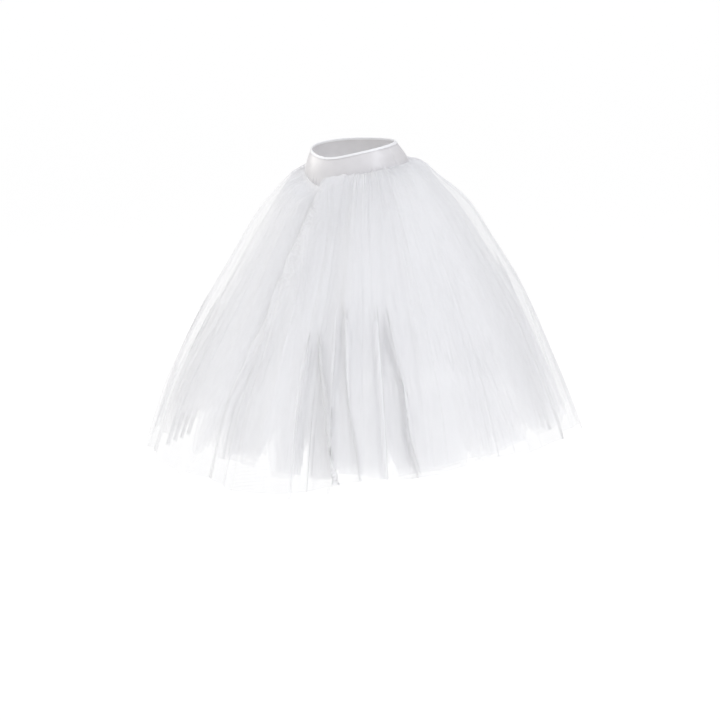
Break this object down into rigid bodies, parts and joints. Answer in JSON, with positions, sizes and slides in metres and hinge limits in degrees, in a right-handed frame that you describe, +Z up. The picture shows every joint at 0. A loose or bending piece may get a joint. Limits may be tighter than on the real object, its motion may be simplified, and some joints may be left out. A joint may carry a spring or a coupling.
{
  "type": "ballet tutu",
  "caption": "Long romantic ballet tutu: gathered layers of sheer white tulle hang as a full bell from a smooth stretch yoke with a bound waist; worn round the waist over a leotard.",
  "frame": {"origin": "middle of the waist opening, at the mean height of the yoke's bound top edge", "axes": "+Z up along the standing wearer; -Y is the garment's front, +X is the wearer's left side"},
  "size_m": [1.1038, 1.0572, 0.7759],
  "materials": {
    "yoke_front": "soft satin sheen, smooth stretch cloth",
    "yoke_back": "soft satin sheen, smooth stretch cloth",
    "waist_binding": "soft sheen, fold-over elastic",
    "tulle_1": "matt sheer net with raw cut hem",
    "tulle_2": "matt sheer net with raw cut hem",
    "tulle_3": "matt sheer net with raw cut hem",
    "tulle_4": "matt sheer net with raw cut hem",
    "tulle_5": "matt sheer net with raw cut hem"
  },
  "bodies": {
    "root": {"yoke_front": "yoke_front", "yoke_back": "yoke_back", "waist_binding": "waist_binding", "tulle_1": "tulle_1", "tulle_2": "tulle_2", "tulle_3": "tulle_3", "tulle_4": "tulle_4", "tulle_5": "tulle_5"}
  },
  "joints": []
}
